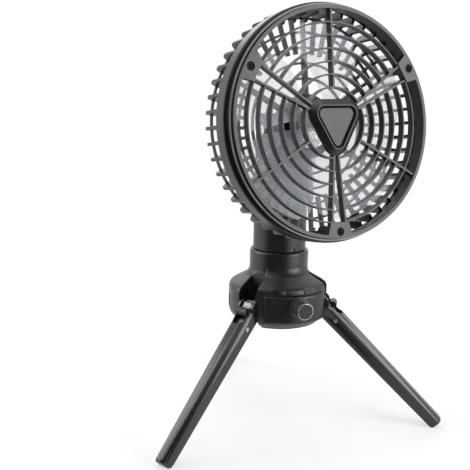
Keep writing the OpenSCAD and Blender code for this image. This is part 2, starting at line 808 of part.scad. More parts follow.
// The stepped outer ring of the grille.
module grille_rim() {
    flank = ring_r - flank_step;
    lip = ring_r - lip_step;
    rotate_extrude($fn = 128) polygon([
        [ring_inner_r, 0], [lip, 0], [lip + 0.6, -lip_depth + ledge_h / 2], [flank - 0.2, -lip_depth - ledge_h / 2],
        [flank, -bezel_depth + 1.6], [ring_r, -bezel_depth + 1.2], [ring_r, -bezel_depth + parting_gap],
        [flank, -bezel_depth + parting_gap], [flank, -bezel_depth], [ring_inner_r, -bezel_depth]
    ]);
}

// Rings and ribs of the grille, seen from the front.
module grille_bars() {
    difference() {
        for (k = [0 : ring_count - 1]) difference() {
            circle(first_ring_r + k * ring_pitch + grille_bar / 2);
            circle(first_ring_r + k * ring_pitch - grille_bar / 2);
        }
        for (a = tab_angles) rotate(a) polygon([
            [boss_reach, 2], [last_ring_r, 6.3], [last_ring_r, -6.3], [boss_reach, -2]
        ]);
    }
    for (a = rib_angles) rotate(a) translate([first_ring_r, -grille_rib / 2])
        square([ring_inner_r - first_ring_r + 0.5, grille_rib]);
    for (a = tab_angles, side = [-1, 1]) rotate(a) polygon([
        [boss_reach + 5, side * (1.4 - grille_rib / 2)], [last_ring_r + 2, side * (6.3 - grille_rib / 2)],
        [last_ring_r + 2, side * (6.3 + grille_rib / 2)], [boss_reach + 5, side * (1.4 + grille_rib / 2)]
    ]);
}

// One screw tab with the pillar behind it.
module screw_tab() {
    translate([0, 0, -tab_t]) linear_extrude(tab_t) intersection() {
        polygon([
            [last_ring_r, -tab_inner_w / 2], [ring_inner_r + 1, -tab_w / 2],
            [ring_inner_r + 1, tab_w / 2], [last_ring_r, tab_inner_w / 2]
        ]);
        circle(ring_inner_r + 1);
    }
    translate([tab_screw_r, 0, -bezel_depth]) cylinder(r = pillar_r, h = bezel_depth - 1);
}

// The raised boss in the middle of the grille.
module grille_boss() {
    hull() for (a = tab_angles) rotate([0, 0, a]) translate([boss_reach, 0, -grille_set]) {
        cylinder(r1 = boss_foot_r, r2 = boss_rim_r, h = boss_rise + grille_set, $fn = 48);
        translate([0, 0, -boss_back]) cylinder(r = boss_foot_r, h = boss_back, $fn = 48);
    }
}

module grille_badge() {
    color(dark) on_head() translate([0, 0, boss_rise - badge_t - 1.2]) linear_extrude(badge_t) badge_outline(badge_r);
}

module grille_screws() {
    color(dark) on_head() for (a = tab_angles) rotate([0, 0, a]) translate([tab_screw_r, 0, 0]) difference() {
        union() {
            translate([0, 0, -screw_seat_depth]) cylinder(r = screw_head_r, h = 1.5);
            translate([0, 0, -screw_seat_depth - screw_len]) cylinder(r = screw_r, h = screw_len + 0.5);
        }
        for (turn = [45, 135]) rotate([0, 0, turn]) translate([-1.7, -0.35, -screw_seat_depth + 0.6]) cube([3.4, 0.7, 2]);
    }
}

// Side view of one back rib: a leg down the side that turns in along the back.
module tooth_profile() {
    translate([tooth_r - tooth_depth, -cage_depth + tooth_round])
        square([tooth_depth, tooth_top + 2 + cage_depth - tooth_round]);
    translate([rear_rib_inner_r, -cage_depth]) square([tooth_r - tooth_round - rear_rib_inner_r, rear_rib_h]);
    translate([tooth_r - tooth_round, -cage_depth + tooth_round]) circle(tooth_round);
}

module rear_cage() {
    color(charcoal) on_head() difference() {
        union() {
            translate([0, 0, tooth_top]) linear_extrude(band_depth) difference() {
                circle(ring_r, $fn = 128);
                circle(ring_r - band_wall, $fn = 128);
            }
            for (i = [0 : tooth_count - 1]) rotate([90, 0, i * 360 / tooth_count])
                linear_extrude(tooth_t, center = true) tooth_profile();
            rear_hoops();
            rear_struts();
            for (a = tab_angles) rotate([0, 0, a]) cage_pillar();
        }
        translate([0, 0, -cage_depth - past]) cylinder(r = motor_r + loose, h = cage_depth);
        for (a = tab_angles) rotate([0, 0, a]) translate([tab_screw_r, 0, -cage_depth + 6])
            cylinder(r = screw_r + snug, h = cage_depth);
        for (a = rib_angles) rotate([0, 0, a]) translate([housing_screw_r, 0, -cage_depth - past])
            cylinder(r = housing_screw_shank + loose, h = mount_plate_t + 20);
    }
}

// The round hoops that join the back ribs.
module rear_hoops() {
    translate([0, 0, -cage_depth + 0.8]) linear_extrude(hoop_h) {
        for (r = [mount_plate_r + hoop_pitch : hoop_pitch : tooth_r - tooth_round - 2 * hoop_w]) difference() {
            circle(r + hoop_w / 2);
            circle(r - hoop_w / 2);
        }
        difference() {
            circle(tooth_r - tooth_round);
            circle(tooth_r - tooth_round - hoop_w);
        }
    }
}

// The motor's mounting plate, its shroud and the struts that carry it.
module rear_struts() {
    translate([0, 0, -cage_depth]) {
        cylinder(r = mount_plate_r, h = mount_plate_t);
        cylinder(r = shroud_r, h = cage_depth + motor_front);
        for (i = [0 : strut_count - 1]) rotate([0, 0, 90 + i * 360 / strut_count])
            translate([mount_plate_r - 2, -strut_w / 2, 0]) cube([rear_rib_inner_r + 3 - mount_plate_r, strut_w, rear_rib_h]);
    }
}

// A screw pillar of the cage and the web that ties it to the band.
module cage_pillar() {
    translate([tab_screw_r, 0, -bezel_depth - screw_len]) cylinder(r = pillar_r, h = screw_len);
    translate([tab_screw_r, -tooth_t / 2 - 0.3, tooth_top - 3])
        cube([ring_r - band_wall / 2 - tab_screw_r, tooth_t + 0.6, band_depth + 2]);
}

// Cup behind the cage that holds the motor and ends in the tilt lug.
module motor_housing() {
    back = -(head_reach - lug_stand);
    color(charcoal) on_head() difference() {
        union() {
            translate([0, 0, back]) cylinder(r = housing_r - 1, h = 1 + past / 2);
            translate([0, 0, back + 1]) cylinder(r = housing_r, h = -back - 1 - cage_depth);
            rotate([90, 0, 90]) linear_extrude(lug_w, center = true) {
                translate([0, -head_reach]) circle(lug_r);
                translate([-lug_r, -head_reach]) square([2 * lug_r, lug_stand + 1]);
            }
        }
        translate([0, 0, motor_floor]) cylinder(r = motor_r + loose, h = head_reach);
        translate([0, 0, -head_reach]) rotate([0, 90, 0]) cylinder(r = tilt_pin_r + running, h = lug_w + 2, center = true);
        for (a = rib_angles) rotate([0, 0, a]) translate([housing_screw_r, 0, -cage_depth - 8])
            cylinder(r = housing_screw_shank + snug, h = 10);
    }
}

module housing_screws() {
    color(steel) on_head() for (a = rib_angles) rotate([0, 0, a]) translate([housing_screw_r, 0, -cage_depth - 7]) {
        cylinder(r = housing_screw_shank, h = 7 + mount_plate_t);
        translate([0, 0, 7 + mount_plate_t]) cylinder(r = housing_screw_head, h = 1.2);
    }
}

module motor_can() {
    color(steel) on_head() difference() {
        union() {
            translate([0, 0, motor_back]) cylinder(r = motor_r, h = motor_len);
            translate([0, 0, motor_front - past]) cylinder(r = bush_boss_r, h = past + 1);
        }
        translate([0, 0, motor_back - past]) cylinder(r = motor_r - motor_wall, h = motor_len + past - motor_wall);
        translate([0, 0, motor_front - 5]) cylinder(r = bush_r + snug, h = 10);
    }
}

module motor_cap() {
    color(dark) on_head() difference() {
        union() {
            translate([0, 0, motor_floor]) cylinder(r = motor_r, h = cap_t);
            translate([0, 0, motor_floor]) cylinder(r = bush_boss_r, h = bush_len);
        }
        translate([0, 0, motor_floor - past]) cylinder(r = bush_r + snug, h = bush_len + 2 * past);
    }
}

module motor_magnets() {
    outer = motor_r - motor_wall - snug;
    color(dark) on_head() translate([0, 0, motor_back + 0.5]) for (a = [0, 180]) rotate([0, 0, a - 60])
        rotate_extrude(angle = 120) translate([outer - magnet_t, 0]) square([magnet_t, motor_len - motor_wall - 1.5]);
}

module motor_bushes() {
    color("goldenrod") on_head() {
        translate([0, 0, motor_front + 1 - bush_len]) tube(bush_r, shaft_r + running, bush_len);
        translate([0, 0, motor_floor]) tube(bush_r, shaft_r + running, bush_len);
    }
}

// ---------------------------------------------------------------- blades

module motor_shaft() {
    color(steel) on_head() translate([0, 0, motor_floor + 0.5])
        cylinder(r = shaft_r, h = blade_front + nut_t + 0.6 - motor_floor - 0.5);
}

module motor_rotor() {
    color(copper) on_head() translate([0, 0, motor_floor + bush_len + rotor_gap])
        tube(rotor_r, shaft_r + snug, motor_len - motor_wall - bush_len - 2 * rotor_gap);
}

module blade_nut() {
    color(steel) on_head() translate([0, 0, blade_front]) linear_extrude(nut_t) difference() {
        circle(nut_r, $fn = 6);
        circle(shaft_r + snug);
    }
}

// Angular width of a blade at fraction u of its length, rounded off at the tip.
function blade_span(u) = (blade_root_span + blade_extra_span * sin(150 * u)) * sqrt(1 - 0.62 * pow(u, 10));
// Axial lift of a blade across its width, less at the tip than at the root.
function blade_lift(u) = (blade_depth - 1.5) * (1 - 0.16 * u);
// A point on a blade: u runs out along it, v across it, and side is -1 or 1.
function blade_point(u, v, side) = let (
    r = blade_hub_r - 1.5 + (blade_r - blade_hub_r + 1.5) * u,
    a = blade_sweep * u * u + blade_span(u) * (v - 0.5),
    thin = blade_t / 2 * sqrt(max(0.08, 1 - pow(2 * v - 1, 4))),
    z = blade_mid + blade_lift(u) * (v - 0.5) + 1.6 * (1 - pow(2 * v - 1, 2)) - 0.8
) [r * cos(a), r * sin(a), z + side * thin];

// One blade, lofted from its root to its tip.
module blade() {
    rows = blade_stations;
    cols = blade_chords + 1;
    upper = [for (j = [0 : rows - 1], i = [0 : cols - 1]) blade_point(j / (rows - 1), i / blade_chords, 1)];
    lower = [for (j = [0 : rows - 1], i = [0 : cols - 1]) blade_point(j / (rows - 1), i / blade_chords, -1)];
    n = rows * cols;
    polyhedron(concat(upper, lower), concat(
        [for (j = [0 : rows - 2], i = [0 : cols - 2]) let (p = j * cols + i) [p, p + 1, p + cols]],
        [for (j = [0 : rows - 2], i = [0 : cols - 2]) let (p = j * cols + i) [p + 1, p + cols + 1, p + cols]],
        [for (j = [0 : rows - 2], i = [0 : cols - 2]) let (p = n + j * cols + i) [p, p + cols, p + 1]],
        [for (j = [0 : rows - 2], i = [0 : cols - 2]) let (p = n + j * cols + i) [p + 1, p + cols, p + cols + 1]],
        [for (j = [0 : rows - 2], e = [0, cols - 1]) let (p = j * cols + e)
            e == 0 ? [p, p + cols, p + n] : [p, p + n, p + cols]],
        [for (j = [0 : rows - 2], e = [0, cols - 1]) let (p = j * cols + e)
            e == 0 ? [p + cols, p + n + cols, p + n] : [p + cols, p + n, p + n + cols]],
        [for (i = [0 : cols - 2], e = [0, rows - 1]) let (p = e * cols + i)
            e == 0 ? [p, p + n, p + 1] : [p, p + 1, p + n]],
        [for (i = [0 : cols - 2], e = [0, rows - 1]) let (p = e * cols + i)
            e == 0 ? [p + 1, p + n, p + n + 1] : [p + 1, p + n + 1, p + n]]
    ));
}

module fan_blade() {
    hub_back = blade_front - blade_depth;
    color(smoke) on_head() difference() {
        union() {
            translate([0, 0, hub_back]) cylinder(r = blade_hub_r, h = blade_depth);
            for (i = [0 : blade_count - 1]) rotate([0, 0, i * 360 / blade_count]) blade();
        }
        translate([0, 0, hub_back - 30]) difference() {
            cylinder(r = blade_hub_r - blade_hub_wall, h = 30 + blade_depth - blade_hub_wall);
            cylinder(r = shaft_r + 2.4, h = 60);
        }
        translate([0, 0, hub_back - past]) cylinder(r = shaft_r + snug, h = blade_depth + 2 * past);
    }
}

// ---------------------------------------------------------------- legs

// Section of a leg: flat inner side, chamfered outer corners.
module leg_section(w, d) {
    cut = leg_cut * w / leg_w;
    polygon([
        [-d / 2, -w / 2], [d / 2 - cut, -w / 2], [d / 2, -w / 2 + cut],
        [d / 2, w / 2 - cut], [d / 2 - cut, w / 2], [-d / 2, w / 2]
    ]);
}

module leg(i) {
    cheek_half = leg_w / 2;
    slot_half = cheek_half - cheek_t;
    color(charcoal) intersection() {
        on_leg(i) difference() {
            union() {
                hull() {
                    rotate([0, 90, 0]) mirror([1, 0, 0]) linear_extrude(0.1) leg_section(leg_w, leg_d);
                    translate([leg_len - toe_cut - 0.1, 0, 0]) rotate([0, 90, 0]) mirror([1, 0, 0]) linear_extrude(0.1)
                        leg_section(toe_w, toe_d);
                    translate([leg_len - 0.1, 0, 0]) rotate([0, 90, 0]) mirror([1, 0, 0]) linear_extrude(0.1)
                        leg_section(toe_w - 2 * toe_cut, toe_d - 2 * toe_cut);
                }
                rotate([90, 0, 0]) cylinder(r = leg_d / 2, h = leg_w, center = true);
            }
            // Slot between the cheeks, with a round end and a floor past the hinge.
            translate([-20, -slot_half, -20]) cube([20 + floor_start, 2 * slot_half, 40]);
            translate([0, -slot_half, -leg_d / 2 + slot_floor]) cube([slot_end - slot_half, 2 * slot_half, 20]);
            translate([slot_end - slot_half, 0, -leg_d / 2 + slot_floor]) cylinder(r = slot_half, h = 20);
            rotate([90, 0, 0]) cylinder(r = pin_r + running, h = leg_w + 2, center = true);
            translate([roller_s, 0, roller_n]) rotate([90, 0, 0])
                cylinder(r = 1.2 + snug, h = leg_w - 2, center = true);
            translate([rivet_s, 0, rivet_n]) rotate([90, 0, 0])
                cylinder(r = rivet_r + snug, h = leg_w + 2, center = true);
        }
        translate([-400, -400, 0]) cube([800, 800, 400]);
    }
}

module leg_rivet(i) {
    color(steel) on_leg(i) translate([rivet_s, 0, rivet_n]) rotate([90, 0, 0]) {
        cylinder(r = rivet_r, h = leg_w, center = true);
        for (side = [0, 1]) mirror([0, 0, side]) translate([0, 0, leg_w / 2]) cylinder(r = rivet_head_r, h = rivet_proud);
    }
}

module leg_roller(i) {
    slot_half = leg_w / 2 - cheek_t;
    color(dark) on_leg(i) translate([roller_s, 0, roller_n]) rotate([90, 0, 0]) {
        cylinder(r = roller_r, h = 2 * (slot_half - face_gap), center = true);
        cylinder(r = 1.2, h = leg_w - 2.4, center = true);
    }
}

// Sprung block behind the roller, held by the rivet.
module leg_plunger(i) {
    slot_half = leg_w / 2 - cheek_t;
    low = -leg_d / 2 + slot_floor;
    color(dark) on_leg(i) difference() {
        translate([roller_s + roller_r - 1, -slot_half + face_gap, low])
            cube([slot_end - slot_half / 2 - roller_s - roller_r + 3, 2 * (slot_half - face_gap), plunger_h]);
        translate([slot_end - slot_half, 0, low - past]) difference() {
            translate([0, -leg_w, 0]) cube([leg_w, 2 * leg_w, leg_d]);
            cylinder(r = slot_half - face_gap, h = leg_d);
        }
        translate([roller_s, 0, roller_n]) rotate([90, 0, 0]) cylinder(r = roller_r + face_gap, h = leg_w, center = true);
        translate([rivet_s, 0, rivet_n]) rotate([90, 0, 0]) cylinder(r = rivet_r + snug, h = leg_w, center = true);
    }
}

// ---------------------------------------------------------------- nodes

hub_shell();
hub_base();
base_screws();
control_panel();
panel_lenses();
usb_socket();
charge_board();
control_board();
speed_control();
bracket_screws();
leg_bracket(0);  // leg_bracket_1
leg_bracket(1);  // leg_bracket_2
leg_bracket(2);  // leg_bracket_3
hinge_pin(0);  // hinge_pin_1
hinge_pin(1);  // hinge_pin_2
hinge_pin(2);  // hinge_pin_3
dial_shaft();
control_knob();
knob_ring();
knob_face();
neck_tube();
neck_yoke();
neck_retainer();
retainer_screws();
neck_screw();
battery_cells();
battery_holder();
tilt_pin();
tilt_washers();
motor_housing();
housing_screws();
rear_cage();
front_grille();
grille_badge();
grille_screws();
motor_can();
motor_cap();
motor_magnets();
motor_bushes();
motor_shaft();
motor_rotor();
fan_blade();
blade_nut();
leg(0);  // leg_1
leg(1);  // leg_2
leg(2);  // leg_3
leg_rivet(0);  // leg_rivet_1
leg_rivet(1);  // leg_rivet_2
leg_rivet(2);  // leg_rivet_3
leg_roller(0);  // leg_roller_1
leg_roller(1);  // leg_roller_2
leg_roller(2);  // leg_roller_3
leg_plunger(0);  // leg_plunger_1
leg_plunger(1);  // leg_plunger_2
leg_plunger(2);  // leg_plunger_3
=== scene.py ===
"""Portable camping fan: caged head, smoke-tinted rotor, turning neck, round hub and three folding legs."""

from __future__ import annotations

import json
import logging
import math
from dataclasses import dataclass
from enum import Enum

import bmesh
import bpy
from mathutils import Matrix, Vector


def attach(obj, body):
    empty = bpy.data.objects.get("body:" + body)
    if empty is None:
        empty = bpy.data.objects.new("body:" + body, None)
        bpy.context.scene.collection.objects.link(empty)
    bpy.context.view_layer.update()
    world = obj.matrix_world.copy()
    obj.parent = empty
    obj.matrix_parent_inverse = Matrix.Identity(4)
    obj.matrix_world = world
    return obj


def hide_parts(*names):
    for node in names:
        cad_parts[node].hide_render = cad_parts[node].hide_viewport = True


log = logging.getLogger("camping_fan")

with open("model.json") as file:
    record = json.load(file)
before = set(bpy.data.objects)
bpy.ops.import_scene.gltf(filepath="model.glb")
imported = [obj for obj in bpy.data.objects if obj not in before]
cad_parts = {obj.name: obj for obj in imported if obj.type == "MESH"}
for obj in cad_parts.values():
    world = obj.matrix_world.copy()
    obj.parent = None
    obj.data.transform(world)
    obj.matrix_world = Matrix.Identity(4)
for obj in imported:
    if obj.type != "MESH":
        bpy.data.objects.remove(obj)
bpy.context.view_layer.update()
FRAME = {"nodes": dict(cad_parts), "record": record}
MM = 0.001

# Point that the head tilts on, the way that it faces, and the distance from that point to the grille's lip.
HEAD_PIVOT = Vector((0.0, -0.026279, 0.253))
HEAD_AXIS = Vector((0.141099, -0.979158, 0.146083)).normalized()
HEAD_REACH = 0.0774

# Directions of the grille's screw tabs, and distances of their screws and the boss's corners from the fan's axis.
TAB_ANGLES = (30.0, 150.0, 270.0)
TAB_SCREW_R_MM = 82.8
BOSS_REACH_MM = 13.5

# Middle of the knob's front.
KNOB_FRONT = Vector((0.0, -0.084479, 0.1105))

LEG_NUMBERS = (1, 2, 3)

# Easing of edges: bends in degrees, lengths in metres.
WELD = 2e-6
FLAT_BEND = 0.5
SKEW_LIMIT = 120.0
SMOOTH_BEND = 32.0
EDGE_FACES = 2
LONG_EDGE = 0.05
LONG_EDGE_BEND = 30.0
LONG_EDGE_FACES = 5

# Slow changes of colour and gloss over a moulding.
CLOUD_MM = 18.0
CLOUD_STOPS = (0.35, 0.65)
GLOSS_STOPS = (0.3, 0.7)
GREY_STOPS = (0.3, 0.7)
GLOSS_SWING = 0.1
COAT_ROUGHNESS = 0.12

# Waves of the smooth grains, spacing of the cast one's pits, and wobble of the turned one's marks.
# A share is how much of the relief they make, beside the fine noise.
SATIN_WAVE_MM = 5.0
SATIN_SHARE = 0.8
FROST_WAVE_MM = 9.0
FROST_SHARE = 0.4
PIT_SPACING = 2.2
PIT_SHARE = 0.5
RING_WOBBLE = 0.4
RING_SHARE = 0.7

WHITE = (1.0, 1.0, 1.0, 1.0)

Socket = bpy.types.NodeSocket
Colour = tuple[float, float, float]


class Grain(Enum):
    """Surface of a moulded, cast or turned piece."""

    SPARK = "spark"
    SATIN = "satin"
    CAST = "cast"
    TURNED = "turned"
    KNURL = "knurl"
    FROST = "frost"


class Tone(Enum):
    """Linear base colours of the fan's materials."""

    CHARCOAL = (0.0110, 0.0110, 0.0120)
    LEG = (0.0095, 0.0095, 0.0115)
    GRILLE = (0.0095, 0.0095, 0.0102)
    PANEL = (0.0080, 0.0080, 0.0087)
    BLACK = (0.0045, 0.0045, 0.0050)
    # Painted shade: near black, laid in the grille's grooves, in the tab screw seats and round the badge.
    PAINTED_SHADE = (0.0020, 0.0020, 0.0022)
    BADGE = (0.0260, 0.0260, 0.0275)
    KNOB = (0.0240, 0.0240, 0.0255)
    # Painted highlight: a light grey that stands for the light caught on the grille's ledge.
    PAINTED_HIGHLIGHT = (0.2400, 0.2400, 0.2460)
    SMOKE = (0.830, 0.880, 0.940)
    LENS = (0.0110, 0.0110, 0.0130)
    CHROME = (0.560, 0.565, 0.580)
    STEEL = (0.560, 0.565, 0.575)
    ZINC = (0.270, 0.275, 0.285)
    BLACK_STEEL = (0.0100, 0.0100, 0.0110)
    BRONZE = (0.450, 0.270, 0.120)
    BOARD = (0.012, 0.090, 0.035)
    WRAP = (0.035, 0.140, 0.330)
    COPPER = (0.560, 0.240, 0.110)


@dataclass(frozen=True)
class Finish:
    """A procedural surface finish.

    The grain sizes are real ones, in millimetres, so the texture keeps its scale on every piece.
    """

    name: str
    tone: Tone
    grain: Grain
    roughness: float = 0.4
    metallic: float = 0.0
    specular: float = 0.5
    alpha: float = 1.0
    grain_mm: float = 0.5
    relief_mm: float = 0.01
    mottle: float = 0.18
    coat: float = 0.0

    def build(self) -> bpy.types.Material:
        """Makes the node material.

        Returns:
            The finished material, which reads Object coordinates only.
        """
        sheet = NodeSheet(self.name)
        shader = sheet.shader
        shader.inputs["Metallic"].default_value = self.metallic
        shader.inputs["Specular IOR Level"].default_value = self.specular
        shader.inputs["Alpha"].default_value = self.alpha
        if self.coat:
            shader.inputs["Coat Weight"].default_value = self.coat
            shader.inputs["Coat Roughness"].default_value = COAT_ROUGHNESS
        clouds = sheet.noise(1.0 / (CLOUD_MM * MM), detail=3.0)
        fine = sheet.noise(1.0 / (self.grain_mm * MM), detail=2.0)
        dark = tuple(c * (1.0 - self.mottle) for c in self.tone.value)
        light = tuple(min(1.0, c * (1.0 + self.mottle)) for c in self.tone.value)
        paint = sheet.ramp(clouds, *zip(CLOUD_STOPS, (dark, light)))
        sheet.link(paint, shader.inputs["Base Color"])
        low, high = self.roughness * (1.0 - GLOSS_SWING), min(1.0, self.roughness * (1.0 + GLOSS_SWING))
        sheet.link(sheet.spread(clouds, *GLOSS_STOPS, low, high), shader.inputs["Roughness"])
        relief = self.relief(sheet, fine)
        sheet.link(sheet.bump(relief, self.relief_mm * MM), shader.inputs["Normal"])
        return sheet.material

    def relief(self, sheet: NodeSheet, fine: Socket) -> Socket:
        """Makes the height pattern of the grain.

        Args:
            sheet: The node sheet to draw on.
            fine: The fine noise that most grains hold.

        Returns:
            A socket that holds the height, from 0 to 1.
        """
        if self.grain is Grain.SATIN:
            return sheet.blend(sheet.noise(1.0 / (SATIN_WAVE_MM * MM), detail=1.0), fine, SATIN_SHARE)
        if self.grain is Grain.CAST:
            return sheet.blend(sheet.voronoi(1.0 / (self.grain_mm * PIT_SPACING * MM)), fine, PIT_SHARE)
        if self.grain is Grain.TURNED:
            return sheet.blend(sheet.rings(1.0 / (self.grain_mm * MM)), fine, RING_SHARE)
        if self.grain is Grain.KNURL:
            return sheet.voronoi(1.0 / (self.grain_mm * MM))
        if self.grain is Grain.FROST:
            return sheet.blend(sheet.noise(1.0 / (FROST_WAVE_MM * MM), detail=2.0), fine, FROST_SHARE)
        return fine


class NodeSheet:
    """A material's node tree, with short calls for the nodes that the finishes use."""

    def __init__(self, name: str) -> None:
        """Starts a material with a Principled shader.

        Args:
            name: The material's name.
        """
        self.material = bpy.data.materials.new(name)
        self.material.use_nodes = True
        self.nodes = self.material.node_tree.nodes
        self.shader = self.nodes["Principled BSDF"]
        self.place = self.nodes.new("ShaderNodeTexCoord").outputs["Object"]

    def link(self, source: Socket, target: Socket) -> None:
        """Joins two sockets."""
        self.material.node_tree.links.new(source, target)

    def noise(self, scale: float, detail: float = 2.0) -> Socket:
        """Adds a noise pattern.

        Args:
            scale: Cells per metre.
            detail: Number of finer layers.

        Returns:
            The pattern's value socket.
        """
        node = self.nodes.new("ShaderNodeTexNoise")
        node.inputs["Scale"].default_value = scale
        node.inputs["Detail"].default_value = detail
        self.link(self.place, node.inputs["Vector"])
        return node.outputs["Fac"]

    def voronoi(self, scale: float) -> Socket:
        """Adds a cell pattern, rising from each cell's middle.

        Args:
            scale: Cells per metre.

        Returns:
            The distance socket.
        """
        node = self.nodes.new("ShaderNodeTexVoronoi")
        node.inputs["Scale"].default_value = scale
        self.link(self.place, node.inputs["Vector"])
        return node.outputs["Distance"]

    def rings(self, scale: float) -> Socket:
        """Adds tool marks.

        Args:
            scale: The wave's scale per metre, each of which holds about three marks.

        Returns:
            The wave's value socket.
        """
        node = self.nodes.new("ShaderNodeTexWave")
        node.wave_type = "RINGS"
        node.inputs["Scale"].default_value = scale
        node.inputs["Distortion"].default_value = RING_WOBBLE
        self.link(self.place, node.inputs["Vector"])
        return node.outputs["Fac"]

    def ramp(self, source: Socket, low: tuple[float, Colour], high: tuple[float, Colour]) -> Socket:
        """Turns a value into a colour between two stops.

        Args:
            source: The value socket.
            low: Position and colour of the first stop.
            high: Position and colour of the last stop.

        Returns:
            The colour socket.
        """
        node = self.nodes.new("ShaderNodeValToRGB")
        for element, (position, colour) in zip(node.color_ramp.elements, (low, high)):
            element.position = position
            element.color = (*colour, 1.0)
        self.link(source, node.inputs["Fac"])
        return node.outputs["Color"]

    def greys(self, scale: float, tones: tuple[float, float]) -> Socket:
        """Adds a clouded grey.

        Args:
            scale: Clouds per metre.
            tones: The darkest and the lightest grey.

        Returns:
            The colour socket.
        """
        dark, light = ((tone, tone, tone) for tone in tones)
        return self.ramp(self.noise(scale), *zip(GREY_STOPS, (dark, light)))

    def spread(self, source: Socket, low: float, high: float, to_low: float, to_high: float) -> Socket:
        """Maps a value from one range to another.

        Args:
            source: The value socket.
            low: Start of the range that comes in.
            high: End of the range that comes in.
            to_low: Start of the range that goes out.
            to_high: End of the range that goes out.

        Returns:
            The mapped value socket.
        """
        node = self.nodes.new("ShaderNodeMapRange")
        node.inputs["From Min"].default_value = low
        node.inputs["From Max"].default_value = high
        node.inputs["To Min"].default_value = to_low
        node.inputs["To Max"].default_value = to_high
        self.link(source, node.inputs["Value"])
        return node.outputs["Result"]

    def math(self, operation: str, first: Socket, second: Socket | float) -> Socket:
        """Adds a Math node.

        Args:
            operation: The node's operation.
            first: The first value socket.
            second: The second value, a socket or a number.

        Returns:
            The result socket.
        """
        node = self.nodes.new("ShaderNodeMath")
        node.operation = operation
        self.link(first, node.inputs[0])
        if isinstance(second, float):
            node.inputs[1].default_value = second
        else:
            self.link(second, node.inputs[1])
        return node.outputs[0]

    def blend(self, first: Socket, second: Socket, share: float) -> Socket:
        """Mixes two values.

        Args:
            first: The value whose share is given.
            second: The value that fills up the rest.
            share: The first value's share, from 0 to 1.

        Returns:
            The mixed value's socket.
        """
        rest = self.math("MULTIPLY", second, 1.0 - share)
        return self.math("ADD", self.math("MULTIPLY", first, share), rest)

    def bump(self, height: Socket, distance: float) -> Socket:
        """Turns a height into a bumped normal.

        Args:
            height: The height socket.
            distance: Real depth of the relief, in metres.

        Returns:
            The normal socket.
        """
        node = self.nodes.new("ShaderNodeBump")
        node.inputs["Strength"].default_value = 1.0
        node.inputs["Distance"].default_value = distance
        self.link(height, node.inputs["Height"])
        return node.outputs["Normal"]


SHELL = Finish("charcoal_moulding", Tone.CHARCOAL, Grain.SATIN, roughness=0.36, relief_mm=0.05)
LEG = Finish("leg_moulding", Tone.LEG, Grain.SATIN, roughness=0.27, specular=0.6, relief_mm=0.04)
GRILLE = Finish("grille_moulding", Tone.GRILLE, Grain.SATIN, roughness=0.38, relief_mm=0.04)
PANEL = Finish("panel_moulding", Tone.PANEL, Grain.SATIN, roughness=0.34, relief_mm=0.02)
BLACK = Finish("black_moulding", Tone.BLACK, Grain.SPARK, roughness=0.45)
# Painted shade: near black with almost no reflection, standing for the shade in grooves and screw seats.
PAINTED_SHADE = Finish("recess_painted_shade", Tone.PAINTED_SHADE, Grain.SPARK, roughness=0.5, specular=0.03)
# Painted highlight on the ledge between the grille's grooves.
PAINTED_HIGHLIGHT = Finish("ridge_painted_highlight", Tone.PAINTED_HIGHLIGHT, Grain.SATIN, roughness=0.4, relief_mm=0.02)
BADGE = Finish("badge_plate", Tone.BADGE, Grain.SPARK, roughness=0.45, grain_mm=0.3, relief_mm=0.006)
SMOKE = Finish(
    "smoke_blade", Tone.SMOKE, Grain.FROST, roughness=0.35, alpha=0.24, relief_mm=0.002, mottle=0.02
)
LENS = Finish("lamp_lens", Tone.LENS, Grain.SATIN, roughness=0.12, coat=0.6, relief_mm=0.005)
CHROME = Finish(
    "chrome_trim", Tone.CHROME, Grain.TURNED, roughness=0.2, metallic=1.0, relief_mm=0.002, mottle=0.04
)
STEEL = Finish(
    "screw_steel", Tone.STEEL, Grain.TURNED, roughness=0.26, metallic=1.0, relief_mm=0.004, mottle=0.08
)
ZINC = Finish(
    "cast_zinc", Tone.ZINC, Grain.CAST, roughness=0.48, metallic=1.0, relief_mm=0.03, mottle=0.12
)
BLACK_STEEL = Finish(
    "black_steel", Tone.BLACK_STEEL, Grain.TURNED, roughness=0.3, specular=0.8, relief_mm=0.004
)
SCREW_BLACK = Finish(
    "screw_black", Tone.BLACK, Grain.TURNED, roughness=0.35, specular=0.05, relief_mm=0.004
)
KNOB = Finish("knob_moulding", Tone.KNOB, Grain.SATIN, roughness=0.3, specular=0.7, relief_mm=0.03)
KNURL = Finish("knob_face", Tone.PANEL, Grain.KNURL, roughness=0.42, grain_mm=1.1, relief_mm=0.3)
BRONZE = Finish("bush_bronze", Tone.BRONZE, Grain.TURNED, roughness=0.3, metallic=1.0, mottle=0.08)
BOARD = Finish("board_green", Tone.BOARD, Grain.SPARK, roughness=0.4)
WRAP = Finish("cell_wrap", Tone.WRAP, Grain.SATIN, roughness=0.3)
COPPER = Finish("rotor_copper", Tone.COPPER, Grain.CAST, roughness=0.35, metallic=1.0)


class Finishes:
    """Every finish, each built once when it is first used."""

    def __init__(self) -> None:
        """Starts with no material built."""
        self.built: dict[str, bpy.types.Material] = {}

    def get(self, finish: Finish) -> bpy.types.Material:
        """Gives a finish's material.

        Args:
            finish: The finish wanted.

        Returns:
            Its node material.
        """
        if finish.name not in self.built:
            self.built[finish.name] = finish.build()
        return self.built[finish.name]


FINISHES = Finishes()


def head_frame() -> Matrix:
    """Gives the head's frame.

    Returns:
        The frame with X across the head, Y up, Z forward, and its origin in the middle of the grille's lip.
    """
    across = Vector((0.0, 0.0, 1.0)).cross(HEAD_AXIS).normalized()
    turn = Matrix((across, HEAD_AXIS.cross(across), HEAD_AXIS)).transposed()
    return Matrix.Translation(HEAD_PIVOT + HEAD_AXIS * HEAD_REACH) @ turn.to_4x4()


HEAD_FRAME = head_frame()
TO_HEAD = HEAD_FRAME.inverted()


